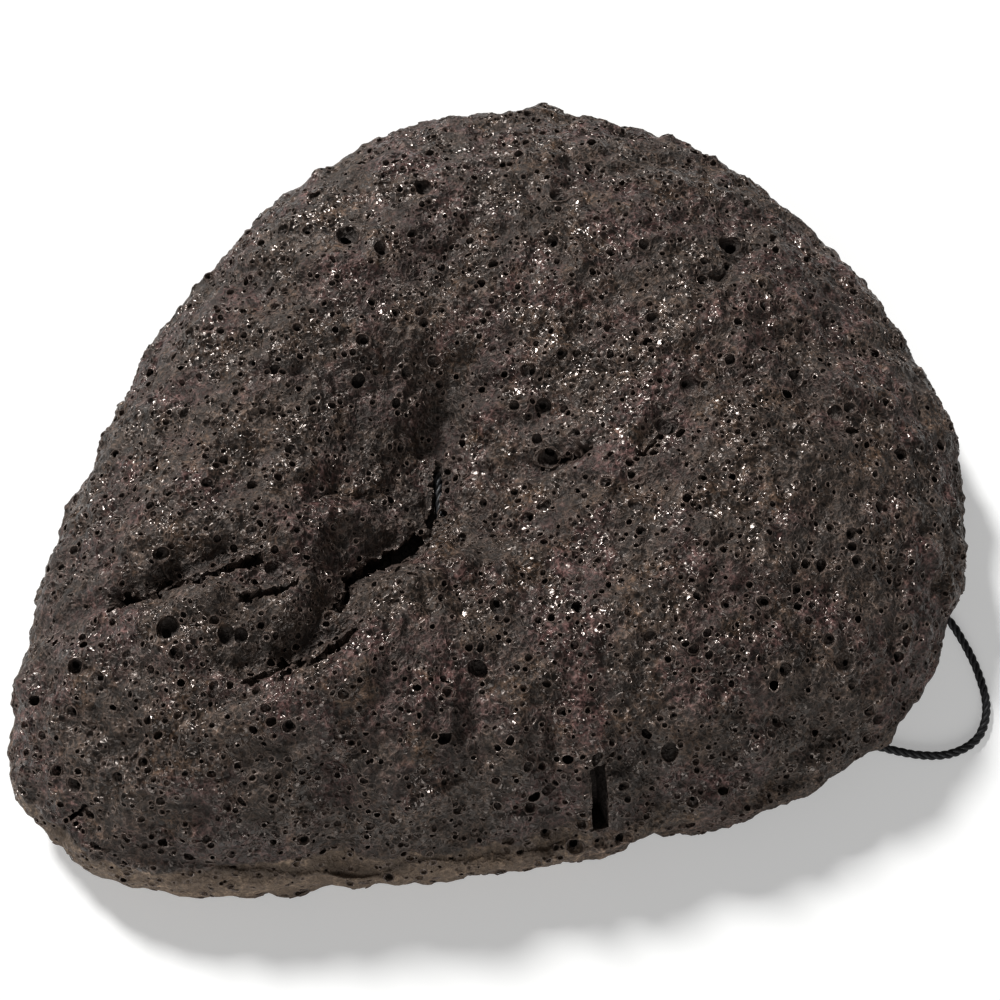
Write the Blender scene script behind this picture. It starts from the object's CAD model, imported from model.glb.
import math
import random
from functools import partial, reduce

import bmesh
import bpy
import numpy as np
from mathutils import Matrix, Vector, kdtree
from mathutils.bvhtree import BVHTree


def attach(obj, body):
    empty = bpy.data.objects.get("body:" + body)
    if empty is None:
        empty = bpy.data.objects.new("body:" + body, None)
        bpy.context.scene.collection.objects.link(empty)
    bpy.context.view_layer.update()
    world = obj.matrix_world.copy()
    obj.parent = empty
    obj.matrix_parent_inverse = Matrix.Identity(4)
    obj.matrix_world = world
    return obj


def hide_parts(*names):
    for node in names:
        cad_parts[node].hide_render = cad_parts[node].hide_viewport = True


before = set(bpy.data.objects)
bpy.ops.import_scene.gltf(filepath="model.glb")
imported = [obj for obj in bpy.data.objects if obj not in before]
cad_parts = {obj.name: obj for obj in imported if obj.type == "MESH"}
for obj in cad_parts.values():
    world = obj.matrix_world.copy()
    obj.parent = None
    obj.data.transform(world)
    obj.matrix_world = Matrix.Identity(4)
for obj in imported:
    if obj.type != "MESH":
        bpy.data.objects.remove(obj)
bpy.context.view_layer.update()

# Konjac sponge: camera and string come first, then the foam, its pores, materials and light.
mm = 0.001
scene = bpy.context.scene

# Camera, fitted to the outline in the photograph
photoView = {
    "azimuth": -39.8, "elevation": 65.45, "distance": 132.3 * mm,
    "target": (3.34 * mm, -0.18 * mm, 4.5 * mm), "fieldOfView": 36.0, "pixels": 1000,
}


def viewDirections(view):
    a, e = math.radians(view["azimuth"]), math.radians(view["elevation"])
    back = Vector((math.sin(a) * math.cos(e), -math.cos(a) * math.cos(e), math.sin(e)))
    right = Vector((math.cos(a), math.sin(a), 0))
    return back, right, back.cross(right)


def addCamera(view):
    back = viewDirections(view)[0]
    camera = bpy.data.objects.new("photoCamera", bpy.data.cameras.new("photoCamera"))
    camera.data.angle = math.radians(view["fieldOfView"])
    camera.data.clip_start, camera.data.clip_end = 0.01, 5
    camera.location = Vector(view["target"]) + back * view["distance"]
    camera.rotation_mode = "QUATERNION"
    camera.rotation_quaternion = (-back).to_track_quat("-Z", "Y")
    scene.collection.objects.link(camera)
    scene.camera = camera


def photoRay(pixel, view=photoView):
    # where the camera stands, and the way it looks through a pixel of the photograph
    back, right, up = viewDirections(view)
    half = math.tan(math.radians(view["fieldOfView"] / 2))
    across = (pixel[0] / view["pixels"] * 2 - 1) * half
    above = (1 - pixel[1] / view["pixels"] * 2) * half
    eye = Vector(view["target"]) + back * view["distance"]
    return eye, (right * across + up * above - back).normalized()


def photoPoint(pixel, height):
    # the place at this height that the pixel shows
    eye, way = photoRay(pixel)
    return eye + way * ((height - eye.z) / way.z)


addCamera(photoView)
print("camera set")


# Routes of the string, with the points that its solids follow
string = {
    "thick": 0.7 * mm, "strands": 3, "strandShare": 0.5, "strandSwell": 1.08,
    "turnEvery": 2.1 * mm, "bevelSteps": 2, "pointEvery": 0.11 * mm,
}
routes = {
    "hangingLoop": [
        (-0.57, 3.25, 3.6), (0.58, 2.44, 3.6), (3, 0.6, 3.2), (5.8, -1.8, 2.2), (9, -4.8, 1.2),
        (12.4, -8.4, 0.6), (15.8, -12.2, 0.4), (19, -16.2, 0.4), (22, -20.4, 0.4),
        (24.6, -24.6, 0.4), (26.4, -28.4, 0.4), (26.9, -31.6, 0.4), (26.4, -34.2, 0.4),
        (25.3, -37, 0.4), (23.6, -39.5, 0.4), (21.2, -40.8, 0.4), (18.6, -40.4, 0.4),
        (16.4, -38.8, 0.4), (14.2, -36, 0.4), (11.2, -31.6, 0.4), (8, -26.6, 0.4),
        (5.2, -21.2, 0.5), (3, -16, 0.7), (1.7, -12, 1), (0.8, -9.3, 1.3),
        (0.45, -7.93, 1.4), (-0.08, -7.02, 1.4),
    ],
    "knotLead": [
        (-3.43, -0.85, 3.6), (-2.29, -1.65, 3.6), (-2.5, -2.3, 3.2), (-3, -3.3, 2.1),
        (-2.65, -4.07, 1.4), (-2.12, -4.98, 1.4),
    ],
    "nearEnd": [(-1.48, -4.6, 1.4), (-2, -3.69, 1.4), (-1.2, -3.4, 1), (-0.4, -3.6, 0.6)],
    "farEnd": [(-0.73, -7.4, 1.4), (-0.2, -8.31, 1.4), (-0.5, -9, 1.1), (-1.2, -9.7, 0.6)],
}


def between(a, b, c, d, t):
    # smooth curve from b to c, which leaves and arrives as its neighbours a and d say
    return (2 * b + (c - a) * t + (2 * a - 5 * b + 4 * c - d) * t**2
            + (3 * b - a - 3 * c + d) * t**3) / 2


def withEnds(points):
    # one more point at either end, straight on
    p = np.array(points, float)
    return np.vstack([2 * p[0] - p[1], p, 2 * p[-1] - p[-2]])


def smoothRoute(points, spacing):
    # one smooth curve through the points, then evenly spaced
    q = withEnds(points)
    t = np.linspace(0, 1, 40, endpoint=False)[:, None]
    fine = [between(a, b, c, d, t) for a, b, c, d in zip(q, q[1:], q[2:], q[3:])]
    fine = np.vstack(fine + [q[-2:-1]])
    long = np.concatenate([[0], np.cumsum(np.linalg.norm(np.diff(fine, axis=0), axis=1))])
    at = np.linspace(0, long[-1], max(3, int(long[-1] / spacing) + 1))
    return np.stack([np.interp(at, long, fine[:, k]) for k in range(3)], 1)


def strandLines(line, values):
    # each strand winds round the route, with a frame carried along it
    lines = [[] for _ in range(values["strands"])]
    side = Vector((0, 0, 1)).cross(Vector(line[1] - line[0]))
    if side.length < 1e-9:
        side = Vector((1, 0, 0))
    radius = values["thick"] * (1 - values["strandShare"]) / 2
    gone = 0.0
    for k, point in enumerate(line):
        ahead = Vector(line[min(k + 1, len(line) - 1)] - line[max(k - 1, 0)]).normalized()
        side = (side - ahead * side.dot(ahead)).normalized()
        other = ahead.cross(side)
        for n, strand in enumerate(lines):
            turn = 2 * math.pi * (gone / values["turnEvery"] + n / len(lines))
            strand.append(Vector(point) + (side * math.cos(turn) + other * math.sin(turn)) * radius)
        if k + 1 < len(line):
            gone += float(np.linalg.norm(line[k + 1] - line[k]))
    return lines


def addObject(name, bm):
    # the bmesh as a new object of the scene
    mesh = bpy.data.meshes.new(name)
    bm.to_mesh(mesh)
    bm.free()
    piece = bpy.data.objects.new(name, mesh)
    scene.collection.objects.link(piece)
    return piece


def tubeMesh(name, lines, radius, bevelSteps, closed=False):
    # a curve with a spline for each strand, turned into a mesh
    curve = bpy.data.curves.new(name + "Curve", "CURVE")
    curve.dimensions, curve.use_fill_caps = "3D", True
    curve.bevel_depth, curve.bevel_resolution = radius, bevelSteps
    for line in lines:
        spline = curve.splines.new("POLY")
        spline.points.add(len(line) - 1)
        spline.points.foreach_set("co", [x for p in line for x in (*p, 1.0)])
        spline.use_cyclic_u = closed
    holder = bpy.data.objects.new(name + "Curve", curve)
    scene.collection.objects.link(holder)
    bpy.context.view_layer.update()
    ready = holder.evaluated_get(bpy.context.evaluated_depsgraph_get())
    mesh = bpy.data.meshes.new_from_object(ready)
    bpy.data.objects.remove(holder)
    bpy.data.curves.remove(curve)
    bm = bmesh.new()
    bm.from_mesh(mesh)
    bpy.data.meshes.remove(mesh)
    bmesh.ops.remove_doubles(bm, verts=bm.verts, dist=1e-6)
    bmesh.ops.recalc_face_normals(bm, faces=bm.faces)
    piece = addObject(name, bm)
    piece.data.polygons.foreach_set("use_smooth", [True] * len(piece.data.polygons))
    return piece


def stringPiece(name, stretches, body):
    lines = []
    for stretch in stretches:
        lines += strandLines(smoothRoute(stretch, string["pointEvery"]), string)
    radius = string["thick"] * string["strandShare"] / 2 * string["strandSwell"]
    piece = tubeMesh(name, lines, radius, string["bevelSteps"])
    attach(piece, body)
    return piece


def inMetres(points):
    return [tuple(x * mm for x in p) for p in points]


knot = {
    "at": (-1.1 * mm, -6 * mm, 1.4 * mm), "direction": -60, "length": 2.8 * mm,
    "width": 2.2 * mm, "turns": 3.6, "points": 90, "tuckFrom": 0.35,
}


def knotRoute(values):
    # wraps round the two strands, tucked in at both ends
    a = math.radians(values["direction"])
    way, beside = Vector((math.cos(a), math.sin(a), 0)), Vector((-math.sin(a), math.cos(a), 0))
    reach = values["length"] / 2 - string["thick"] / 2
    points = []
    for k in range(values["points"] + 1):
        part = k / values["points"]
        turn = 2 * math.pi * values["turns"] * part
        tuck = min(1, min(part, 1 - part) * 9)
        tuck = values["tuckFrom"] + (1 - values["tuckFrom"]) * tuck
        radius = (values["width"] - string["thick"]) / 2 * tuck
        middle = Vector(values["at"]) + way * reach * (2 * part - 1)
        out = beside * math.cos(turn) + Vector((0, 0, 1)) * math.sin(turn)
        points.append(tuple(middle + out * radius))
    return points


knotLead, nearEnd, farEnd, longLoop = [
    inMetres(routes[name]) for name in ("knotLead", "nearEnd", "farEnd", "hangingLoop")]
knotCore = [np.linspace(knotLead[-1], farEnd[0], 4), np.linspace(nearEnd[0], longLoop[-1], 4)]
stringPieces = {
    "hanging_loop": stringPiece("hangingLoopString", [longLoop], "string_loop"),
    "knot_lead": stringPiece("knotLeadString", [knotLead], "string_loop"),
    "string_ends": stringPiece("stringEndsCut", [nearEnd, farEnd], "string_loop"),
    "loop_knot": stringPiece("loopKnotWraps", [knotRoute(knot)] + knotCore, "string_loop"),
}
for node, piece in stringPieces.items():
    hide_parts(node)

# The stitch: up one needle hole, across the floor of the hollow and down the other
stitch = {
    "middle": (-2, 1.2), "direction": 55, "gap": 5, "top": 9.2, "foot": 4.1, "bend": 0.5,
    "channel": 0.46, "channelFoot": 3.2, "channelEvery": 0.3 * mm,
}


def stitchRoute(values):
    a = math.radians(values["direction"])
    half, points = values["gap"] / 2, []
    for side in (-1, 1):
        leg = [(half, values["foot"]), (half, 6), (half, values["top"] - values["bend"]),
               (half - values["bend"] * 0.3, values["top"] - values["bend"] * 0.3),
               (half - values["bend"], values["top"]), (half / 3, values["top"])]
        leg = [(side * x, z) for x, z in leg]
        points += leg if side < 0 else leg[::-1]
    x0, y0 = values["middle"]
    return [(x0 + x * math.cos(a), y0 + x * math.sin(a), z) for x, z in points]


stitchRun = stringPiece("stitchRunString", [inMetres(stitchRoute(stitch))], "sponge")
stringPieces["stitch_run"] = stitchRun
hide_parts("stitch_run")


# Foam: the plan is an egg curve with lumps, in millimetres like the solids
foam = {
    "length": 85, "width": 72, "taper": 0.37, "lumpSize": 0.7,
    "lumps": [(2, -50, 1), (3, 41, 0.4), (4, 9, 0.45), (6, -15, 0.3), (8, 19, 0.25)],
    "bumps": [(-150, 25, -0.7), (-100, 22, -0.6), (158, 6, -0.8), (18, 8, 0.5), (-20, 10, -0.3),
              (50, 8, -0.5), (84, 10, 0.4), (130, 8, 0.4)],
    # small steps of the edge: pixel of the photograph, and height in millimetres
    "edgeSteps": [
        ((470, 118), 0.15), ((545, 108), 0.4), ((505, 122), -0.3), ((590, 120), -0.2),
        ((215, 265), -0.35), ((115, 430), -0.3), ((25, 680), -0.35), ((13, 760), 0.3),
        ((38, 842), -0.5), ((319, 892), -0.6), ((882, 598), -0.6), ((288, 875), -0.3),
        ((517, 858), -0.35), ((688, 875), -0.35), ((170, 305), -0.65), ((319, 166), -0.3),
        ((419, 135), -0.3), ((60, 535), 0.25), ((40, 580), 0.3), ((10, 705), 0.3),
        ((708, 838), -0.3), ((940, 365), -0.4), ((668, 142), -0.35),
    ],
    "stepHeight": 6, "stepReach": 3.5,
    "swellHeight": 0.7, "swells": [(2, 20, 0.4), (3, 75, 0.5), (5, 10, 0.35)], "swellFrom": 0.1,
    "middle": (-2, 1.2), "liftDirection": -57, "liftHeight": 1.9, "liftHalfWidth": 13,
    "steepDirection": -119, "steepReach": 57, "darkDepth": 0.52,
    "wallDirection": -145, "wallReach": 40, "wallTop": 6.6, "calmWall": 0.6,
    "pressedFrom": 4.5,
    # the top has smaller faces than the underside
    "meshLevel": 8, "topRows": 16, "topShare": 2.2, "topFade": 60,
    "sectionSteps": 600, "sectionSpread": 37,
    # uneven top and side: part and wave length of each
    "topWaves": [(0.28, 7), (0.2, 3)], "sideWaves": [(0.25, 7), (0.14, 3)], "sideWidth": 0.08,
    # rough skin: kind, size and height of the lumps
    "roughness": [("wideLumps", "CLOUDS", 3.6, 0.7), ("softLumps", "CLOUDS", 1.7, 0.7),
                  ("cellLumps", "VORONOI", 0.9, -0.34)],
}
# Section from the stitch out and round to the middle of the underside: part of the way out and
# height for a rounded edge, the same two for a steep edge, and the share of the edge's lift
section = [
    (0.0, 11.3, 0.0, 11.3, 0), (0.02, 11.3, 0.02, 11.3, 0), (0.05, 11.3, 0.05, 11.3, 0),
    (0.09, 11.4, 0.09, 11.4, 0), (0.14, 11.8, 0.14, 11.8, 0), (0.21, 13.1, 0.21, 13.1, 0),
    (0.29, 14.3, 0.29, 14.3, 0), (0.37, 15.1, 0.37, 15.1, 0), (0.46, 15.5, 0.46, 15.5, 0),
    (0.55, 15.6, 0.55, 15.6, 0), (0.64, 15.1, 0.64, 15.0, 0.02), (0.73, 14.0, 0.73, 13.8, 0.05),
    (0.8, 12.9, 0.8, 12.4, 0.08), (0.87, 11.3, 0.87, 10.1, 0.15),
    (0.935, 9.5, 0.945, 7.4, 0.25), (0.975, 7.4, 0.985, 5.6, 0.36), (0.997, 4.7, 1.0, 4.7, 0.5),
    (0.99, 2.3, 1.0, 2.4, 0.7), (0.955, 0.3, 0.988, 0.3, 0.9), (0.9, -0.4, 0.94, -0.3, 0.9),
    (0.83, -0.5, 0.85, -0.5, 0.8), (0.76, -0.4, 0.77, -0.4, 0.7), (0.62, 1.1, 0.62, 1.1, 0.5),
    (0.46, 2.9, 0.46, 2.9, 0.1), (0.3, 4.1, 0.3, 4.1, 0), (0.15, 4.6, 0.15, 4.6, 0),
    (0.0, 4.6, 0.0, 4.6, 0),
]
# Folds of the top: depth, half width and height of the upper lip in millimetres, and the pixels of
# the photograph that each runs along
folds = {
    "longToTip": (2.2, 1.35, 0.7, [(266, 552), (232, 566), (206, 573), (172, 584), (136, 600),
        (100, 612)]),
    "shortInner": (1.7, 1.05, 0.5, [(302, 576), (275, 590), (244, 594)]),
    "fromHollow": (2.7, 1.6, 0.8, [(432, 520), (415, 545), (380, 562), (350, 580), (338, 600),
        (322, 622)]),
    "nearLong": (2.5, 1.5, 0.8, [(368, 620), (350, 632), (324, 652), (284, 667), (238, 685)]),
    "leftInner": (0.9, 0.9, 0.3, [(300, 512), (335, 492), (365, 492), (398, 508)]),
    "farLeft": (1.0, 1.4, 0.3, [(205, 262), (250, 285), (290, 305), (335, 335)]),
    "topCrescent": (1.3, 1.7, 0.3, [(478, 212), (468, 240), (445, 270), (395, 303)]),
    "rightCrescent": (1.3, 1.4, 0.3, [(726, 232), (738, 262), (715, 288), (680, 285)]),
    "farSpot": (1.2, 1.2, 0.1, [(558, 335), (592, 345)]),
    "aboveHollow": (1.6, 2.2, 0.2, [(478, 345), (450, 388), (440, 430), (438, 478)]),
    "leftValley": (1.0, 2.8, 0.0, [(300, 350), (340, 395), (385, 425), (425, 470)]),
    "middleDent": (1.2, 1.0, 0.3, [(512, 472), (545, 466), (578, 456), (600, 446)]),
    "nextDent": (1.1, 1.0, 0.3, [(638, 460), (655, 440), (677, 418)]),
    "centreRight": (0.9, 1.7, 0.1, [(698, 372), (735, 388), (765, 372)]),
    "rightDent": (1.0, 1.7, 0.2, [(795, 365), (812, 400), (852, 442)]),
    "nearRight": (0.9, 1.6, 0.2, [(690, 588), (740, 605), (802, 632)]),
    "lowRight": (0.7, 2.4, 0.1, [(780, 700), (820, 712), (862, 716)]),
    "rimFirst": (0.6, 1.5, 0.2, [(342, 775), (338, 815), (334, 850)]),
    "rimSecond": (0.9, 1.5, 0.3, [(482, 690), (475, 760), (470, 840)]),
    "rimThird": (0.8, 1.2, 0.3, [(548, 715), (553, 780), (552, 835)]),
    "rimFourth": (0.7, 1.4, 0.2, [(640, 700), (655, 760), (668, 800)]),
    "wallLine": (0.9, 0.55, 0.0, [(67, 829), (88, 843), (115, 852), (150, 859), (187, 864),
        (228, 868), (268, 872), (308, 873), (335, 868), (380, 870), (430, 857), (480, 852),
        (529, 847), (579, 837), (612, 831), (662, 822)]),
    "overStitch": (0.7, 1.3, 0.0, [(446, 425), (440, 465), (437, 500), (428, 545)]),
    "tipDent": (1.0, 2.0, 0.1, [(100, 732), (142, 748)]),
    "tipLine": (0.8, 1.0, 0.1, [(68, 822), (88, 802), (108, 788)]),
    "tipRow": (0.8, 1.0, 0.2, [(205, 796), (240, 786), (276, 778)]),
}
folds = {name: dict(zip(("depth", "width", "lip", "pixels"), row)) for name, row in folds.items()}
# these two show at another height than the rest, and are darker than their depth says
folds["wallLine"].update(height=6, dark=0.8)
folds["overStitch"].update(height=10, dark=1.0)
# how they lean and run out, how sharp they are, and where their lips stand
foldForm = {
    "towards": (-0.09, 0.996), "lean": 0.45, "leastAway": 0.3, "height": 13,
    "taper": (0.08, 0.84, 0.7), "sharp": 1.3, "lipAt": 2.3, "lipReach": 1.1,
}
hollow = {
    "from": (-0.8, 2.9), "to": (-3.2, -0.5), "depth": 1.3, "width": 1.1,
    "least": 9.95, "reach": 1.4,
}
# Thin dark creases, cut along the bottom of the deepest folds: width, depth and pixels
creases = {
    "hollow": (0.8, 1.0, [(440, 462), (437, 485), (434, 512), (429, 530)]),
    "fromHollow": (1.1, 2.4, [(424, 536), (408, 552), (380, 563), (352, 579), (345, 596),
        (330, 612)]),
    "longToTip": (0.95, 2.2, [(262, 555), (232, 566), (206, 574), (172, 586), (140, 598),
        (112, 608)]),
    "shortInner": (0.8, 1.7, [(300, 579), (280, 590), (262, 592), (240, 598)]),
    "nearLong": (1.05, 2.4, [(357, 628), (326, 653), (300, 660), (270, 672), (242, 684)]),
    "middleDent": (0.5, 1.3, [(550, 466), (578, 457), (594, 447)]),
    "nextDent": (0.5, 1.3, [(642, 456), (655, 441), (672, 424)]),
    "tipLine": (0.4, 1.0, [(70, 820), (86, 804)]),
}
creases = {name: dict(zip(("width", "depth", "pixels"), row)) for name, row in creases.items()}
# The straight slit near the lower edge
nearSlit = {
    "from": (597, 766), "to": (601, 829), "width": 1.3 * mm, "depth": 3.2 * mm, "above": 1.5 * mm,
    "wear": 0.4 * mm, "cuts": 7,
}
creaseCut = {
    "step": 0.35 * mm, "above": 1.5 * mm, "wander": 0.1 * mm, "wear": 0.7, "mostWear": 0.6 * mm,
    "wearSize": 1.1 * mm, "hold": 0.85, "taper": (0.1, 0.8, 0.5),
}


def smoothColumns(rows, count):
    # the section's columns along one smooth curve each
    q = withEnds(rows)
    at = np.linspace(0, len(rows) - 1, count)
    k = np.minimum(at.astype(int), len(rows) - 2)
    return between(q[k], q[k + 1], q[k + 2], q[k + 3], (at - k)[:, None])


def apart(a, b):
    # angle between two directions
    return np.abs((a - b + 180) % 360 - 180)


def hump(away, reach):
    return np.exp(-((away / reach) ** 2))


def directionOf(place):
    return np.degrees(np.arctan2(place[1], place[0]))


def edgeCurve(values):
    # direction and distance of the edge, seen from the stitch
    turn = np.radians(np.arange(0, 360, 0.5))
    x = values["length"] / 2 * np.cos(turn)
    y = values["width"] / 2 * np.sin(turn) * (1 + values["taper"] * np.cos(turn))
    polar = directionOf((x, y))
    lump = sum(size * np.cos(np.radians(n * (polar - first))) for n, first, size in values["lumps"])
    lump += sum(size * hump(apart(polar, way), reach) for way, reach, size in values["bumps"])
    grow = 1 + values["lumpSize"] * lump / np.hypot(x, y)
    x, y = x * grow, y * grow
    x = values["length"] * ((x - x.min()) / np.ptp(x) - 0.5) - values["middle"][0]
    y = values["width"] * ((y - y.min()) / np.ptp(y) - 0.5) - values["middle"][1]
    way, far = directionOf((x, y)), np.hypot(x, y)
    for pixel, size in values["edgeSteps"]:
        place = np.array(photoPoint(pixel, values["stepHeight"] * mm)[:2]) / mm - values["middle"]
        far = far + size * hump(apart(way, directionOf(place)), values["stepReach"])
    order = np.argsort(way)
    return way[order], far[order]


edgeWay, edgeFar = edgeCurve(foam)


def edgeDistance(way):
    return np.interp(way, edgeWay, edgeFar, period=360)


def toPolyline(place, line):
    # distance of each place to a line of points, how far along the line the nearest point is,
    # and the way from there to the place
    best = np.full(len(place), 1e9)
    along, offset = np.zeros(len(place)), np.zeros_like(place)
    steps = np.linalg.norm(np.diff(line, axis=0), axis=1)
    gone = np.concatenate([[0], np.cumsum(steps)]) / steps.sum()
    for k, (a, b) in enumerate(zip(line, line[1:])):
        part = np.clip(((place - a) @ (b - a)) / (steps[k] ** 2), 0, 1)
        step = place - (a + part[:, None] * (b - a))
        away = np.linalg.norm(step, axis=1)
        closer = away < best
        best[closer], offset[closer] = away[closer], step[closer]
        along[closer] = (gone[k] + part * (gone[k + 1] - gone[k]))[closer]
    return best, along, offset


def waves(place, size, seed, count=14):
    # smooth seeded unevenness between about -1 and 1
    draw = np.random.default_rng(seed)
    way = draw.normal(size=(count, 3))
    long = np.linalg.norm(way, axis=1)[:, None]
    way *= (2 * np.pi / size * draw.uniform(0.7, 1.4, (count, 1))) / long
    return np.sin(place @ way.T + draw.uniform(0, 2 * np.pi, count)).sum(1) / math.sqrt(count)


def steepness(way):
    # 1 along the stretch of the edge with a steep side wall
    return 1 / (1 + (apart(way, foam["steepDirection"]) / foam["steepReach"]) ** 6)


def foldShape(fold, flat):
    # how much of the fold's depth and of its lip each place takes
    height = fold.get("height", foldForm["height"]) * mm
    line = np.array([photoPoint(pixel, height)[:2] for pixel in fold["pixels"]]) / mm
    away, along, offset = toPolyline(flat, line)
    lean = foldForm["lean"] * (offset @ np.array(foldForm["towards"]))
    lean = lean / np.maximum(away, foldForm["leastAway"])
    start, share, power = foldForm["taper"]
    taper = np.sin(np.pi * (start + share * along)) ** power
    cut = np.exp(-((away / (fold["width"] * (1 + lean))) ** foldForm["sharp"]))
    lipAt, reach = foldForm["lipAt"] * fold["width"], foldForm["lipReach"] * fold["width"]
    lip = hump(away - lipAt, reach) * (1 - lean)
    return taper * cut, taper * lip


def shapeFoam(place):
    # takes points of a unit ball to the foam's skin
    table = smoothColumns(section, foam["sectionSteps"])
    far = foam["sectionSpread"] * np.abs(table[:, 0])
    run = np.hypot(np.diff(far), np.diff(table[:, 1]))
    upper = np.linspace(0, len(section) - 1, len(run)) < foam["topRows"]
    run = run * np.where(upper, foam["topShare"], 1)
    area = np.concatenate([[0], np.cumsum((far[1:] + far[:-1]) / 2 * run + 1e-4)])
    at = (1 - place[:, 2]) / 2 * area[-1]
    column = [np.interp(at, area, table[:, k]) for k in range(5)]
    way = directionOf(place.T)
    steep = steepness(way)
    share = column[0] + (column[2] - column[0]) * steep
    height = column[1] + (column[3] - column[1]) * steep
    share = np.clip(share, 0, None)
    reach = share * edgeDistance(way)
    flat = np.stack([reach * np.cos(np.radians(way)), reach * np.sin(np.radians(way))], 1)
    lifted = np.radians(foam["liftDirection"])
    beside = np.abs(flat[:, 1] * math.cos(lifted) - flat[:, 0] * math.sin(lifted))
    ahead = flat @ np.array([math.cos(lifted), math.sin(lifted)])
    lift = foam["liftHeight"] / (1 + (beside / foam["liftHalfWidth"]) ** 6)
    height += np.where(ahead > 0, lift, 0) * column[4]
    flat += foam["middle"]
    rows = np.linspace(0, len(section) - 1, len(area))
    topEnd = np.interp(foam["topRows"] - 1, rows, area)
    top = 1 / (1 + np.exp((at - topEnd) / area[-1] * foam["topFade"]))
    swell = sum(part * np.cos(np.radians(n * (way - first))) for n, first, part in foam["swells"])
    within = np.clip((share - foam["swellFrom"]) / (1 - foam["swellFrom"]), 0, 1)
    height += top * foam["swellHeight"] * swell * np.sin(np.pi * within)
    for fold in folds.values():
        cut, lip = foldShape(fold, flat)
        height += top * (fold["lip"] * lip - fold["depth"] * cut)
    away = toPolyline(flat, np.array([hollow["from"], hollow["to"]]))[0]
    height -= top * hollow["depth"] * np.exp(-((away / hollow["width"]) ** 3))
    # over the stitch the foam keeps a roof
    roof = np.exp(-((away / hollow["reach"]) ** 4))
    height += top * np.maximum(hollow["least"] - height, 0) * roof
    solid = np.column_stack([flat, height])
    height += top * np.minimum(1, share / 0.15) * sum(
        part * waves(solid, size, seed) for (part, size), seed in zip(foam["topWaves"], (2, 5)))
    swing = hump(share - 1, foam["sideWidth"]) / np.maximum(reach, 1) * sum(
        part * waves(solid, size, seed) for (part, size), seed in zip(foam["sideWaves"], (3, 4)))
    flat = foam["middle"] + (flat - foam["middle"]) * (1 + swing[:, None])
    return np.column_stack([flat, np.maximum(height, 0)])


def nearWall(place):
    # 1 on the steep side wall, from places in millimetres
    out = (place[:, :2] - foam["middle"]).T
    way = directionOf(out)
    share = np.hypot(*out) / edgeDistance(way)
    along = 1 / (1 + (apart(way, foam["wallDirection"]) / foam["wallReach"]) ** 6)
    below = np.clip((foam["wallTop"] - place[:, 2]) / 0.4, 0, 1)
    return along * below * np.clip((share - 0.9) / 0.05, 0, 1)


def points(mesh):
    found = np.empty(len(mesh.vertices) * 3)
    mesh.vertices.foreach_get("co", found)
    return found.reshape(-1, 3)


def setPoints(mesh, place):
    mesh.vertices.foreach_set("co", np.asarray(place, np.float32).ravel())
    mesh.update()


def onFloor(place):
    # nothing sinks below the floor
    return np.column_stack([place[:, :2], np.maximum(place[:, 2], 0)])


def runModifier(piece, kind, **settings):
    modifier = piece.modifiers.new(kind.title(), kind)
    for key, value in settings.items():
        setattr(modifier, key, value)
    with bpy.context.temp_override(object=piece, active_object=piece, selected_objects=[piece]):
        bpy.ops.object.modifier_apply(modifier=modifier.name)


def roughen(piece, name, kind, size, strength, **settings):
    texture = bpy.data.textures.new(name, kind)
    texture.noise_scale = size
    for key, value in settings.items():
        setattr(texture, key, value)
    runModifier(piece, "DISPLACE", texture=texture, texture_coords="LOCAL", strength=strength,
                mid_level=0.5)


def treeOf(mesh):
    faces = [tuple(face.vertices) for face in mesh.polygons]
    return BVHTree.FromPolygons([tuple(point) for point in points(mesh)], faces)


ball = bmesh.new()
bmesh.ops.create_icosphere(ball, subdivisions=foam["meshLevel"], radius=1)
sponge = addObject("spongeFoam", ball)
foamMesh = sponge.data
setPoints(foamMesh, shapeFoam(points(foamMesh)) * mm)
bpy.context.view_layer.objects.active = sponge
smooth = points(foamMesh)
for name, kind, size, strength in foam["roughness"]:
    roughen(sponge, name, kind, size * mm, strength * mm)
calm = foam["calmWall"] * nearWall(smooth / mm)[:, None]
setPoints(foamMesh, onFloor(points(foamMesh) * (1 - calm) + smooth * calm))
print("foam shaped,", len(foamMesh.polygons), "faces")

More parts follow.
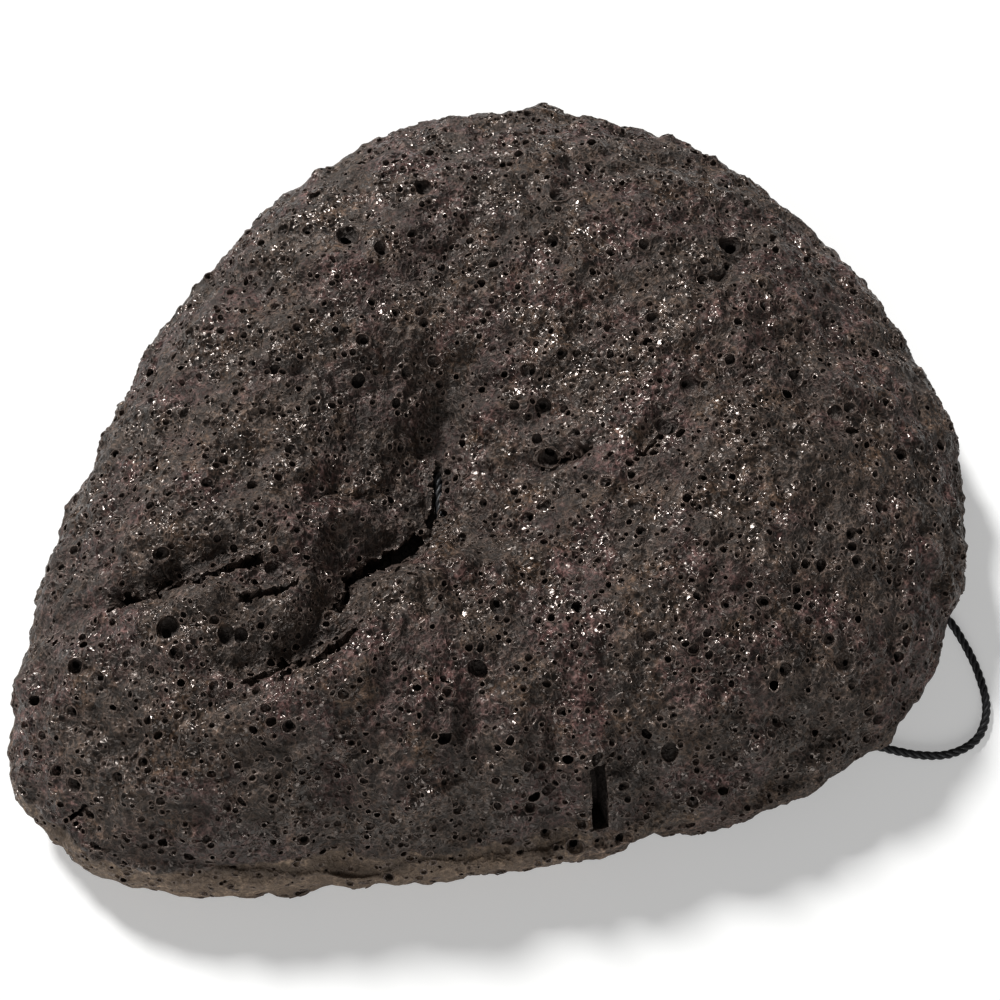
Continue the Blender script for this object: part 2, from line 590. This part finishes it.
# Pores: big ones where the photograph shows them, given as (place, width in pixels), and others
# by a seeded draw. Each is a bubble that the skin has cut open.
pores = {
    "seen": [
        ((347, 235), 24), ((422, 186), 16), ((283, 230), 11), ((308, 230), 11),
        ((382, 249), 13), ((384, 185), 11), ((252, 363), 10), ((190, 333), 10),
        ((188, 351), 10), ((186, 414), 13), ((225, 461), 11), ((207, 483), 11),
        ((169, 491), 12), ((290, 450), 11), ((363, 341), 13), ((406, 373), 11),
        ((434, 362), 13), ((424, 324), 11), ((252, 531), 11), ((275, 531), 11),
        ((297, 530), 10), ((161, 554), 14), ((273, 570), 14), ((167, 630), 17),
        ((226, 636), 17), ((96, 677), 13), ((72, 712), 11), ((58, 770), 12), ((289, 726), 12),
        ((343, 694), 10), ((303, 840), 11), ((497, 605), 16), ((478, 667), 17),
        ((518, 135), 12), ((589, 168), 11), ((559, 194), 24), ((553, 242), 13),
        ((611, 252), 11), ((627, 253), 10), ((644, 245), 12), ((730, 245), 22),
        ((702, 281), 13), ((720, 287), 12), ((653, 318), 14), ((765, 306), 12),
        ((688, 384), 18), ((750, 383), 13), ((795, 378), 18), ((529, 371), 14),
        ((549, 375), 11), ((548, 457), 21), ((668, 425), 19), ((850, 408), 13),
        ((834, 413), 12), ((902, 455), 13), ((880, 508), 16), ((852, 534), 12),
        ((545, 506), 15), ((821, 567), 12), ((858, 562), 12), ((797, 590), 11),
        ((727, 603), 13), ((764, 603), 13), ((829, 640), 12), ((846, 664), 15),
        ((786, 670), 12), ((575, 846), 15), ((598, 843), 13), ((622, 838), 13),
        ((898, 657), 13), ((650, 636), 11), ((693, 649), 12), ((670, 752), 19),
        ((597, 758), 12), ((692, 802), 12),
    ],
    "pixelSize": 1 / 12.2,
    # each draw: how many, least and greatest radius in millimetres, and how many of them are deep
    "draws": [(120, 0.5, 0.75, 0.4), (1000, 0.34, 0.5, 0.4), (3400, 0.24, 0.34, 0.35),
              (9000, 0.15, 0.24, 0.3)],
    "quickShare": 1 / 3, "seed": 11, "tray": 150,
    # where a bubble's middle lies under the skin, as a part of its radius
    "deep": (0.25, 0.75), "shallow": (-0.55, 0.1), "seenSunk": (0.25, 0.45), "dish": 1.2,
    # holes in the floor of a dish, and smaller bubbles that open into a deep one
    "holeFrom": 0.24, "holeShare": 0.85, "holeSize": (0.5, 0.72), "innerFrom": 0.42, "inner": 3,
    "innerSize": (0.3, 0.42), "holeAside": (0, 0.35), "holeSunk": (0.2, 0.6),
    "innerLean": (1.7, 2.5), "innerTurn": (-0.3, 0.3), "innerOut": 0.3,
    # how far apart two of one cut stay, and how near a smaller one may lie before it is left out
    "clear": 1.03, "gap": 0.09, "within": (0.85, 0.3),
    # the lip round a larger pore: from what opening, its height, and in openings where it stands
    "lipFrom": 0.26, "lipHeight": 0.1, "lipFull": 0.5, "lipAt": 1.12, "lipWidth": 0.3,
    "lipReach": 1.9,
    # each bubble is stretched a little, and the larger ones have finer faces
    "stretch": [(0.7, 1.15), (0.75, 1.1), (0.9, 1.1)], "finerFrom": (0.2, 0.6),
    "wearSize": 0.45 * mm, "wear": 0.13 * mm,
    # more of them along the creases: how far apart, how far aside in pixels, and their radii
    "creaseEvery": 0.8, "creaseAside": 6, "creaseRadius": (0.28, 0.5), "creaseSunk": (0.3, 0.6),
    # rings of torn wall: from what opening, on how many of them, how thick, and their corners
    "rimFrom": 0.22, "rimShare": 0.75, "rimThick": 0.1, "rimPoints": 10, "rimOff": 0.16,
    "rimWave": (0.02, 0.09), "rimOut": 1.03,
}


def openingOf(radius, sunk):
    return radius * math.sqrt(1 - sunk**2)


def roundWay(turn, angle):
    # a direction in the skin, at this angle round the pore
    return turn @ Vector((math.cos(angle), math.sin(angle), 0))


def surfaceOf(mesh):
    corner = points(mesh)[np.array([p.vertices[:] for p in mesh.polygons])]
    across = np.cross(corner[:, 1] - corner[:, 0], corner[:, 2] - corner[:, 0])
    area = np.linalg.norm(across, axis=1)
    return corner.mean(1), across / area[:, None], area / area.sum()


def drawPores(mesh, values):
    # big ones first; each takes a place clear of those before it, or else goes to the second cut
    draw = np.random.default_rng(values["seed"])
    middle, facing, chance = surfaceOf(mesh)
    tree, wanted = treeOf(mesh), []
    for pixel, width in values["seen"]:
        eye, way = photoRay(pixel)
        hit, normal = tree.ray_cast(eye, way)[:2]
        if hit:
            sunk = -draw.uniform(*values["seenSunk"])
            opening = values["dish"] * width * values["pixelSize"] / 2
            wanted.append((hit, normal, opening / openingOf(1, sunk) * mm, sunk))
    for crease in creases.values():
        along = [(*pixel, 0) for pixel in crease["pixels"]]
        for x, y, _ in smoothRoute(along, values["creaseEvery"] / values["pixelSize"]):
            x = x + draw.normal() * values["creaseAside"]
            y = y + draw.normal() * values["creaseAside"]
            hit, normal = tree.ray_cast(*photoRay((x, y)))[:2]
            radius = draw.uniform(*values["creaseRadius"]) * mm
            wanted.append((hit, normal, radius, draw.uniform(*values["creaseSunk"])))
    for count, least, most, deep in values["draws"]:
        count = count
        for k in draw.choice(len(middle), count, p=chance, replace=False):
            sunk = draw.uniform(*values["deep" if draw.random() < deep else "shallow"])
            radius = draw.uniform(least, most) * mm
            wanted.append((Vector(middle[k]), Vector(facing[k]), radius, sunk))
    near = kdtree.KDTree(len(wanted))
    for k, bubble in enumerate(wanted):
        near.insert(bubble[0], k)
    near.balance()
    largest = max(bubble[2] for bubble in wanted)
    cut = {}
    for k, (place, _, radius, _) in enumerate(wanted):
        taken, turn = {1: False, 2: False}, None
        for _, other, away in near.find_range(place, (radius + largest) * 1.2):
            if cut.get(other):
                if away < (radius + wanted[other][2]) * values["clear"] + values["gap"] * mm:
                    taken[cut[other]] = True
                if away < values["within"][0] * wanted[other][2] + values["within"][1] * radius:
                    turn = 0
                    break
        cut[k] = turn if turn is not None else 1 if not taken[1] else 2 if not taken[2] else 0
    return [[wanted[k] for k in cut if cut[k] == turn] for turn in (1, 2)]


def innerPores(bubbles, values):
    # smaller bubbles that open into the deep big ones, and a deep hole in the floor of a dish
    draw, found = random.Random(values["seed"]), []
    for place, normal, radius, sunk in bubbles:
        opening, turn = openingOf(radius, sunk), normal.to_track_quat("Z", "Y")
        isDish = sunk < -0.1 and opening > values["holeFrom"] * mm
        if isDish and draw.random() < values["holeShare"]:
            size = opening * draw.uniform(*values["holeSize"])
            aside = roundWay(turn, draw.uniform(0, 6.28)) * opening
            aside = aside * draw.uniform(*values["holeAside"])
            floor = place - normal * radius * (1 + sunk)
            found.append((floor + aside, normal, size, draw.uniform(*values["holeSunk"])))
        if radius < values["innerFrom"] * mm or sunk < 0.2:
            continue
        centre, start = place - normal * radius * sunk, draw.uniform(0, 6.28)
        for k in range(values["inner"]):
            lean = draw.uniform(*values["innerLean"])
            angle = start + k * 6.27 / values["inner"] + draw.uniform(*values["innerTurn"])
            way = roundWay(turn, angle) * math.sin(lean) + turn @ Vector((0, 0, math.cos(lean)))
            size = radius * draw.uniform(*values["innerSize"])
            found.append((centre + way * (radius + size * values["innerOut"]), way, size, 0.0))
    return found


def raiseLips(mesh, bubbles, values):
    # the skin stands up a little round each larger pore
    place = points(mesh)
    tree = kdtree.KDTree(len(place))
    for k, point in enumerate(place):
        tree.insert(point, k)
    tree.balance()
    lift = np.zeros_like(place)
    for at, normal, radius, sunk in bubbles:
        opening = openingOf(radius, sunk)
        if opening > values["lipFrom"] * mm:
            for _, k, away in tree.find_range(at, opening * values["lipReach"]):
                off = (away - opening * values["lipAt"]) / (values["lipWidth"] * opening)
                part = math.exp(-(off ** 2)) * values["lipHeight"] * mm
                rise = part * min(1, opening / (values["lipFull"] * mm))
                lift[k] += np.array(normal) * rise
    setPoints(mesh, onFloor(place + lift))


def poreCutter(name, chosen, seed, values=pores):
    # bubbles in trays, so that each bmesh stays small
    draw = random.Random(seed)
    whole = bmesh.new()
    for start in range(0, len(chosen), values["tray"]):
        tray = bmesh.new()
        for place, normal, radius, sunk in chosen[start:start + values["tray"]]:
            turn = normal.to_track_quat("Z", "Y").to_matrix()
            turn = turn @ Matrix.Rotation(draw.uniform(0, 6.28), 3, "Z")
            stretch = [draw.uniform(*ends) for ends in values["stretch"]]
            matrix = Matrix.Translation(place - normal * radius * sunk)
            matrix = matrix @ (turn @ Matrix.Diagonal(stretch)).to_4x4()
            finer = sum(radius > least * mm for least in values["finerFrom"])
            bmesh.ops.create_icosphere(tray, subdivisions=1 + finer, radius=radius, matrix=matrix)
        mesh = bpy.data.meshes.new("tray")
        tray.to_mesh(mesh)
        tray.free()
        whole.from_mesh(mesh)
        bpy.data.meshes.remove(mesh)
    cutter = addObject(name, whole)
    roughen(cutter, name + "Wear", "CLOUDS", values["wearSize"], values["wear"])
    return cutter


skinMaterial = bpy.data.materials.new("dryFoam")
wallMaterial = bpy.data.materials.new("poreWall")
foamMesh.materials.append(skinMaterial)
foamMesh.materials.append(wallMaterial)


def poreRims(bubbles, values, tree, cutTree):
    # a thin uneven ring of torn bubble wall round each of the larger pores, lying on the skin and
    # left out where the skin is cut away
    draw = np.random.default_rng(values["seed"] + 1)
    rings = []
    for place, normal, radius, sunk in bubbles:
        opening = openingOf(radius, sunk)
        if opening < values["rimFrom"] * mm or draw.random() > values["rimShare"]:
            continue
        turn = normal.to_track_quat("Z", "Y")
        wave, start = draw.uniform(*values["rimWave"]), draw.uniform(0, 6.28, 2)
        ring = []
        for k in range(values["rimPoints"]):
            angle = 2 * math.pi * k / values["rimPoints"]
            uneven = wave * math.sin(2 * angle + start[0]) + 0.04 * math.sin(3 * angle + start[1])
            out = roundWay(turn, angle) * opening * (values["rimOut"] + uneven)
            at, facing = tree.find_nearest(place + out)[:2]
            at = at + facing * values["rimThick"] * (0.2 + 0.45 * math.sin(angle + start[1])) * mm
            ring.append(Vector((at.x, at.y, max(at.z, values["rimThick"] * 0.6 * mm))))
        if max(cutTree.find_nearest(point)[3] for point in ring) < values["rimOff"] * mm:
            rings.append(ring)
    return tubeMesh("poreRims", rings, values["rimThick"] * mm / 2, 0, closed=True)


def middleOf(bm):
    return sum((vert.co for vert in bm.verts), Vector()) / len(bm.verts)


def creaseCutter(name, values, tree):
    # a ribbon along the crease, from above the skin down to its floor, then given its thickness
    line = smoothRoute([(*pixel, 0) for pixel in values["pixels"]],
                       creaseCut["step"] / mm / pores["pixelSize"])
    draw, aside = random.Random(name), 0.0
    start, share, power = creaseCut["taper"]
    ribbon = bmesh.new()
    upper = []
    for k, pixel in enumerate(line):
        eye, way = photoRay(pixel[:2])
        hit, normal = tree.ray_cast(eye, way)[:2]
        part = k / (len(line) - 1)
        taper = math.sin(math.pi * (start + share * part)) ** power
        aside = creaseCut["hold"] * aside + draw.uniform(-1, 1) * creaseCut["wander"]
        hit = hit + normal.cross(way).normalized() * aside
        floor = hit - normal * values["depth"] * taper * mm
        upper.append((ribbon.verts.new(hit + normal * creaseCut["above"]), floor))
    edges = [ribbon.edges.new((a[0], b[0])) for a, b in zip(upper, upper[1:])]
    lower = bmesh.ops.extrude_edge_only(ribbon, edges=edges)["geom"]
    lower = [v for v in lower if isinstance(v, bmesh.types.BMVert)]
    for vert in lower:
        vert.co = min(upper, key=lambda pair: (pair[0].co - vert.co).length)[1]
    ribbon.normal_update()
    middle = middleOf(ribbon)
    bmesh.ops.solidify(ribbon, geom=ribbon.faces[:], thickness=values["width"] * mm)
    bmesh.ops.translate(ribbon, vec=middle - middleOf(ribbon), verts=ribbon.verts)
    bmesh.ops.recalc_face_normals(ribbon, faces=ribbon.faces)
    cutter = addObject(name, ribbon)
    roughen(cutter, name + "Wear", "CLOUDS", creaseCut["wearSize"],
            min(creaseCut["wear"] * values["width"] * mm, creaseCut["mostWear"]))
    return cutter


def slitCutter(values, tree):
    # a box from above the skin down to the slit's floor, with worn walls
    ends = []
    for pixel in (values["from"], values["to"]):
        hit, normal = tree.ray_cast(*photoRay(pixel))[:2]
        ends.append(hit)
    along = (ends[1] - ends[0]).normalized()
    down = -(normal - along * normal.dot(along)).normalized()
    turn = Matrix((along, down.cross(along), down)).transposed().to_4x4()
    size = ((ends[1] - ends[0]).length, values["width"], values["depth"] + values["above"])
    middle = (ends[0] + ends[1]) / 2 + down * (values["depth"] - values["above"]) / 2
    bm = bmesh.new()
    matrix = Matrix.Translation(middle) @ turn @ Matrix.Diagonal((*size, 1))
    bmesh.ops.create_cube(bm, size=1, matrix=matrix)
    bmesh.ops.subdivide_edges(bm, edges=bm.edges, cuts=values["cuts"], use_grid_fill=True)
    cutter = addObject("slitCutter", bm)
    roughen(cutter, "slitWear", "CLOUDS", creaseCut["wearSize"], values["wear"])
    return cutter


def cutOut(cutter):
    cutter.data.materials.append(skinMaterial)
    cutter.data.materials.append(wallMaterial)
    cutter.data.polygons.foreach_set("material_index", [1] * len(cutter.data.polygons))
    runModifier(sponge, "BOOLEAN", object=cutter, operation="DIFFERENCE", solver="MANIFOLD")
    bpy.data.objects.remove(cutter)
    print("cut, faces now", len(sponge.data.polygons))


skinTree = treeOf(foamMesh)
firstCut, secondCut = drawPores(foamMesh, pores)
raiseLips(foamMesh, firstCut, pores)
lippedTree = treeOf(foamMesh)
# the channel that the stitch runs in: two needle holes and the run across
channel = stitchRoute(dict(stitch, foot=stitch["channelFoot"]))
channel = smoothRoute(inMetres(channel), stitch["channelEvery"])
cutOut(tubeMesh("stitchChannel", [channel], stitch["channel"] * mm, 4))
for name, values in creases.items():
    cutOut(creaseCutter(name + "Crease", values, skinTree))
cutOut(slitCutter(nearSlit, skinTree))
for turn, chosen in enumerate((firstCut, secondCut, innerPores(firstCut, pores))):
    cutOut(poreCutter("poreCutter%d" % turn, chosen, turn))


def markFoam(mesh):
    # where the pore walls and their rims are, and how near each point is to the side wall
    inWall = np.empty(len(mesh.polygons), np.int32)
    mesh.polygons.foreach_get("material_index", inWall)
    corners, vert = np.empty(len(mesh.polygons), np.int32), np.empty(len(mesh.loops), np.int32)
    mesh.polygons.foreach_get("loop_total", corners)
    mesh.loops.foreach_get("vertex_index", vert)
    count = np.bincount(vert, minlength=len(mesh.vertices))
    inside = np.bincount(vert, weights=np.repeat(inWall, corners), minlength=len(mesh.vertices))
    part = inside / np.maximum(count, 1)
    place = points(mesh) / mm
    deep = np.zeros(len(place))
    for k in np.nonzero(part > 0.5)[0]:
        deep[k] = skinTree.find_nearest(place[k] * mm)[3] / mm
    dark = [foldShape(fold, place[:, :2])[0] * fold.get("dark", min(1, fold["depth"] / 2))
            for fold in folds.values()]
    marks = {
        "poreWall": np.clip(deep / foam["darkDepth"], 0, 1),
        "poreRim": ((part > 0.01) & (part < 0.99)).astype(float),
        "pressed": np.max(dark, axis=0) * np.clip(place[:, 2] - foam["pressedFrom"], 0, 1),
        "sideWall": nearWall(place),
    }
    for name, values in marks.items():
        layer = mesh.attributes.new(name, "FLOAT", "POINT")
        layer.data.foreach_set("value", values.astype(np.float32))
    mesh.polygons.foreach_set("material_index", np.zeros(len(mesh.polygons), np.int32))
    mesh.materials.pop(index=1)


foamMesh = sponge.data
markFoam(foamMesh)
rims = poreRims(firstCut + secondCut, pores, lippedTree, treeOf(foamMesh))
print("rims", len(rims.data.polygons))
rims.data.materials.append(skinMaterial)
for name, value in (("poreWall", 0.0), ("poreRim", 1.0), ("sideWall", 0.0), ("pressed", 0.0)):
    layer = rims.data.attributes.new(name, "FLOAT", "POINT")
    layer.data.foreach_set("value", [value] * len(rims.data.vertices))
with bpy.context.temp_override(object=sponge, active_object=sponge, selected_objects=[sponge, rims],
                               selected_editable_objects=[sponge, rims]):
    bpy.ops.object.join()
foamMesh.validate()  # takes out the few faces that the cuts left without an area
with bpy.context.temp_override(object=sponge, active_object=sponge, selected_objects=[sponge],
                               selected_editable_objects=[sponge]):
    bpy.ops.object.shade_smooth_by_angle(angle=math.radians(42))
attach(sponge, "sponge")
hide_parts("sponge_body")
print("foam marked,", len(foamMesh.polygons), "faces")


# Materials
def addNode(tree, kind, inputs=None, **settings):
    # nodes stand in rows of eight, in the order in which they are made
    node = tree.nodes.new(kind)
    node.location = len(tree.nodes) % 8 * 220, -(len(tree.nodes) // 8) * 320
    for key, value in settings.items():
        setattr(node, key, value)
    for key, value in (inputs or {}).items():
        if isinstance(value, bpy.types.NodeSocket):
            tree.links.new(value, node.inputs[key])
        else:
            node.inputs[key].default_value = value
    return node


def mixColours(tree, part, a, b, blend="MIX"):
    return addNode(tree, "ShaderNodeMix", {0: part, 6: a, 7: b}, data_type="RGBA",
                   blend_type=blend).outputs[2]


def ramp(tree, value, ends, to=(0.0, 1.0), kind="SMOOTHSTEP"):
    # a smooth step or a straight line from one end to the other
    inputs = dict(enumerate((value, *ends, *to)))
    return addNode(tree, "ShaderNodeMapRange", inputs, interpolation_type=kind).outputs[0]


def maths(tree, operation, *values):
    return addNode(tree, "ShaderNodeMath", dict(enumerate(values)), operation=operation).outputs[0]


foamLook = {
    "purple": (0.0318, 0.0170, 0.0155, 1), "green": (0.0250, 0.0172, 0.0128, 1),
    "brown": (0.0315, 0.0192, 0.0124, 1), "side": (0.195, 0.140, 0.098, 1),
    "inPore": (0.012, 0.009, 0.008, 1), "rim": (0.15, 0.112, 0.094, 1),
    # where in the noise one colour gives way to the next
    "patch": 6 * mm, "greenEnds": (0.42, 0.58), "brownEnds": (0.5, 0.66),
    # light and dark: size of each noise, where it changes, and the least and most light there
    "mottle": 1.3 * mm, "mottleEnds": (0.32, 0.68), "mottleShade": (0.22, 1.82),
    "blotch": 4.5 * mm, "blotchEnds": (0.36, 0.64), "blotchShade": (0.68, 1.33),
    "cell": 0.46 * mm, "cellEnds": (0.15, 0.85), "cellShade": (0.1, 2.2),
    "fineCell": 0.23 * mm, "fineShade": (0.3, 1.7), "warp": 0.17 * mm,
    # net of thin bubble walls: how much lighter, how much of the rims' colour, and height
    "wallSize": 0.62 * mm, "wallWidth": 0.13, "wallEnds": (0.38, 0.56), "wallBase": 0.88,
    "wallLight": 1.0, "wallTint": 0.35, "wallRise": 0.06 * mm,
    "rimTint": 0.75, "pressedDark": 0.8, "sideCalm": 0.7,
    # relief of the cells: tilted flats and bowls, less deep where they are glossy
    "tilt": 0.55, "bowl": 0.16 * mm, "fineBowl": 0.08 * mm, "fineTilt": 0.7, "glossyBowl": 0.6,
    # glossy films, on some of the cells, in patches
    "shinyCells": 0.62, "shinyPatch": 4 * mm, "shinyEnds": (0.38, 0.53), "rimGloss": 0.95,
    "roughness": 0.7, "glossRoughness": 0.22, "shine": 0.74, "shineTint": (1.0, 0.87, 0.79, 1),
}


def foamPatterns(tree, look):
    # what the foam's colour, gloss and relief are mixed from, and the noise that they share
    where = addNode(tree, "ShaderNodeTexCoord").outputs["Object"]
    seen = {name: addNode(tree, "ShaderNodeAttribute", attribute_name=name).outputs["Fac"]
            for name in ("poreWall", "poreRim", "sideWall", "pressed")}

    def noise(size, detail=2.0, roughness=0.5, result="Fac"):
        return addNode(tree, "ShaderNodeTexNoise", {
            "Vector": where, "Scale": 1 / size, "Detail": detail, "Roughness": roughness,
        }).outputs[result]

    def vector(operation, *values):
        inputs = dict(enumerate(values))
        return addNode(tree, "ShaderNodeVectorMath", inputs, operation=operation).outputs

    # cells with uneven outlines: their places are shifted by noise
    shift = vector("SUBTRACT", noise(look["cell"] * 1.3, 1.0, 0.5, "Color"), (0.5, 0.5, 0.5))[0]
    uneven = vector("MULTIPLY_ADD", shift, (look["warp"] * 2,) * 3, where)[0]
    for name in ("cell", "fineCell"):
        # distance to the cell's middle, a number of its own and the height of a tilted flat in it
        cell = addNode(tree, "ShaderNodeTexVoronoi", {
            "Vector": uneven, "Scale": 1 / look[name]}).outputs
        lean = vector("SUBTRACT", cell["Color"], (0.5, 0.5, 0.5))[0]
        flat = vector("DOT_PRODUCT", lean, vector("SUBTRACT", uneven, cell["Position"])[0])["Value"]
        seen[name] = cell["Distance"]
        seen[name + "Own"] = addNode(
            tree, "ShaderNodeSeparateColor", {0: cell["Color"]}).outputs[0]
        seen[name + "Flat"] = maths(tree, "MULTIPLY", flat, look["tilt"])
    # thin walls between broken bubbles, standing up as a net of lines
    net = addNode(tree, "ShaderNodeTexVoronoi", {"Vector": uneven, "Scale": 1 / look["wallSize"]},
                  feature="DISTANCE_TO_EDGE").outputs["Distance"]
    seen["net"] = maths(tree, "MULTIPLY", ramp(tree, net, (0, look["wallWidth"]), (1.0, 0.0)),
                        ramp(tree, noise(look["wallSize"] * 1.5, 1), look["wallEnds"]))
    return seen, noise


def foamColour(tree, look, seen, noise):
    calc, step, mix = partial(maths, tree), partial(ramp, tree), partial(mixColours, tree)
    colour = mix(step(noise(look["patch"], 3), look["greenEnds"]), look["purple"], look["green"])
    colour = mix(step(noise(look["patch"] * 0.6, 3), look["brownEnds"]), colour, look["brown"])
    colour = mix(seen["sideWall"], colour, look["side"])
    shades = [
        step(noise(look["mottle"], 4, 0.65), look["mottleEnds"], look["mottleShade"]),
        step(noise(look["blotch"]), look["blotchEnds"], look["blotchShade"]),
        step(seen["cell"], look["cellEnds"], look["cellShade"]),
        step(seen["fineCell"], look["cellEnds"], look["fineShade"]),
        calc("MULTIPLY_ADD", seen["net"], look["wallLight"], look["wallBase"]),
    ]
    grain = reduce(partial(calc, "MULTIPLY"), shades)
    # the side wall is plainer
    calm = calc("MULTIPLY", seen["sideWall"], look["sideCalm"])
    grain = step(calm, (0, 1), (grain, 1.0), "LINEAR")
    pressed = calc("MULTIPLY_ADD", seen["pressed"], -look["pressedDark"], 1.0)
    grain = calc("MULTIPLY", grain, pressed)
    tone = addNode(tree, "ShaderNodeCombineColor", {0: grain, 1: grain, 2: grain}).outputs[0]
    colour = mix(1.0, colour, tone, "MULTIPLY")
    for name, tint in (("net", "wallTint"), ("poreRim", "rimTint")):
        colour = mix(calc("MULTIPLY", seen[name], look[tint]), colour, look["rim"])
    return mix(seen["poreWall"], colour, look["inPore"])


def foamGloss(tree, look, seen, noise):
    # some cells are glossy films, in patches, and so are the bubble walls and rims
    calc, step = partial(maths, tree), partial(ramp, tree)
    glossy = step(seen["cellOwn"], (1 - look["shinyCells"], 1.02 - look["shinyCells"]))
    glossy = calc("MULTIPLY", calc("MAXIMUM", glossy, seen["net"]),
                  step(noise(look["shinyPatch"], 2), look["shinyEnds"]))
    for hidden in (calc("MAXIMUM", seen["poreWall"], seen["sideWall"]), seen["pressed"]):
        glossy = calc("MULTIPLY", glossy, calc("SUBTRACT", 1.0, hidden))
    return calc("MAXIMUM", glossy, calc("MULTIPLY", seen["poreRim"], look["rimGloss"]))


def foamRelief(tree, look, seen, glossy):
    # bowls and tilted flats in the cells, and the net on top
    calc = partial(maths, tree)
    bowl = calc("MULTIPLY", calc("POWER", seen["cell"], 2.0), look["bowl"])
    bowl = calc("MULTIPLY", bowl, ramp(tree, glossy, (0, 1), (1.0, look["glossyBowl"])))
    fine = calc("MULTIPLY", calc("POWER", seen["fineCell"], 2.0), look["fineBowl"])
    fine = calc("ADD", fine, calc("MULTIPLY", seen["fineCellFlat"], look["fineTilt"]))
    fine = calc("MULTIPLY", fine, calc("SUBTRACT", 1.0, glossy))
    relief = calc("ADD", calc("ADD", bowl, seen["cellFlat"]), fine)
    relief = calc("MULTIPLY_ADD", seen["net"], look["wallRise"], relief)
    bump = addNode(tree, "ShaderNodeBump", {"Height": relief, "Strength": 1.0, "Distance": 1.0})
    return bump.outputs[0]


def foamMaterial(material, look):
    material.use_nodes = True
    tree = material.node_tree
    shader = tree.nodes["Principled BSDF"]
    seen, noise = foamPatterns(tree, look)
    glossy = foamGloss(tree, look, seen, noise)
    rough = ramp(tree, glossy, (0, 1), (look["roughness"], look["glossRoughness"]), "LINEAR")
    tree.links.new(foamColour(tree, look, seen, noise), shader.inputs["Base Color"])
    tree.links.new(rough, shader.inputs["Roughness"])
    tree.links.new(foamRelief(tree, look, seen, glossy), shader.inputs["Normal"])
    shader.inputs["Specular IOR Level"].default_value = look["shine"]
    shader.inputs["Specular Tint"].default_value = look["shineTint"]


foamMaterial(skinMaterial, foamLook)

stringLook = {
    "colour": (0.010, 0.010, 0.011, 1), "light": (0.03, 0.03, 0.034, 1), "lightEnds": (0.4, 0.75),
    "fibre": 0.12 * mm, "fibreHeight": 0.03 * mm, "fibreBump": 0.5, "roughness": 0.5,
}


def stringMaterial(look):
    material = bpy.data.materials.new("blackTwine")
    material.use_nodes = True
    tree = material.node_tree
    shader = tree.nodes["Principled BSDF"]
    where = addNode(tree, "ShaderNodeTexCoord").outputs["Object"]
    fibre = addNode(tree, "ShaderNodeTexNoise", {
        "Vector": where, "Scale": 1 / look["fibre"], "Detail": 3.0}).outputs["Fac"]
    colour = mixColours(tree, ramp(tree, fibre, look["lightEnds"]), look["colour"], look["light"])
    tree.links.new(colour, shader.inputs["Base Color"])
    bump = addNode(tree, "ShaderNodeBump", {
        "Height": fibre, "Strength": look["fibreBump"], "Distance": look["fibreHeight"]})
    tree.links.new(bump.outputs[0], shader.inputs["Normal"])
    shader.inputs["Roughness"].default_value = look["roughness"]
    return material


twine = stringMaterial(stringLook)
for piece in stringPieces.values():
    piece.data.materials.clear()
    piece.data.materials.append(twine)
print("materials made")

# Floor, lamps and world
studio = {
    # the floor glows for the camera only: a little round the object, and fully white further out
    "floorSize": 3.0, "floorColour": (0.8, 0.8, 0.79, 1), "floorGlow": 0.3,
    "whiteEnds": (0.11, 0.3),
    "keyPlace": (0.05, 0.84, 0.80), "keySize": 0.2, "keyPower": 15.0,
    "fillPlace": (-0.45, -0.5, 0.35), "fillSize": 0.4, "fillPower": 1.5, "worldLight": 0.11,
}


def addFloor(values):
    grid = bmesh.new()
    bmesh.ops.create_grid(grid, x_segments=1, y_segments=1, size=values["floorSize"] / 2)
    floor = addObject("floor", grid)
    material = bpy.data.materials.new("paleFloor")
    material.use_nodes = True
    tree = material.node_tree
    tree.nodes.clear()
    paint = addNode(tree, "ShaderNodeBsdfDiffuse", {"Color": values["floorColour"]}).outputs[0]
    seen = addNode(tree, "ShaderNodeLightPath").outputs["Is Camera Ray"]
    where = addNode(tree, "ShaderNodeTexCoord").outputs["Object"]
    away = addNode(tree, "ShaderNodeVectorMath", {0: where}, operation="LENGTH").outputs["Value"]
    white = ramp(tree, away, values["whiteEnds"], (values["floorGlow"], 1.0))
    glow = addNode(tree, "ShaderNodeEmission", {"Strength": maths(tree, "MULTIPLY", seen, white)})
    both = addNode(tree, "ShaderNodeAddShader", {0: paint, 1: glow.outputs[0]})
    addNode(tree, "ShaderNodeOutputMaterial", {0: both.outputs[0]})
    floor.data.materials.append(material)


def addLamp(name, place, size, power):
    lamp = bpy.data.objects.new(name, bpy.data.lights.new(name, "AREA"))
    lamp.data.shape, lamp.data.size, lamp.data.energy = "DISK", size, power
    lamp.location = place
    lamp.rotation_mode = "QUATERNION"
    lamp.rotation_quaternion = (-Vector(place)).to_track_quat("-Z", "Y")
    scene.collection.objects.link(lamp)


addFloor(studio)
addLamp("keyLamp", studio["keyPlace"], studio["keySize"], studio["keyPower"])
addLamp("fillLamp", studio["fillPlace"], studio["fillSize"], studio["fillPower"])
world = bpy.data.worlds.new("studioWorld")
scene.world = world
world.use_nodes = True
world.node_tree.nodes["Background"].inputs["Color"].default_value = (1, 1, 1, 1)
seenSky = addNode(world.node_tree, "ShaderNodeLightPath").outputs["Is Camera Ray"]
world.node_tree.links.new(
    ramp(world.node_tree, seenSky, (0, 1), (studio["worldLight"], 1.0)),
    world.node_tree.nodes["Background"].inputs["Strength"])
scene.view_settings.view_transform = "Standard"
print("stage lit")
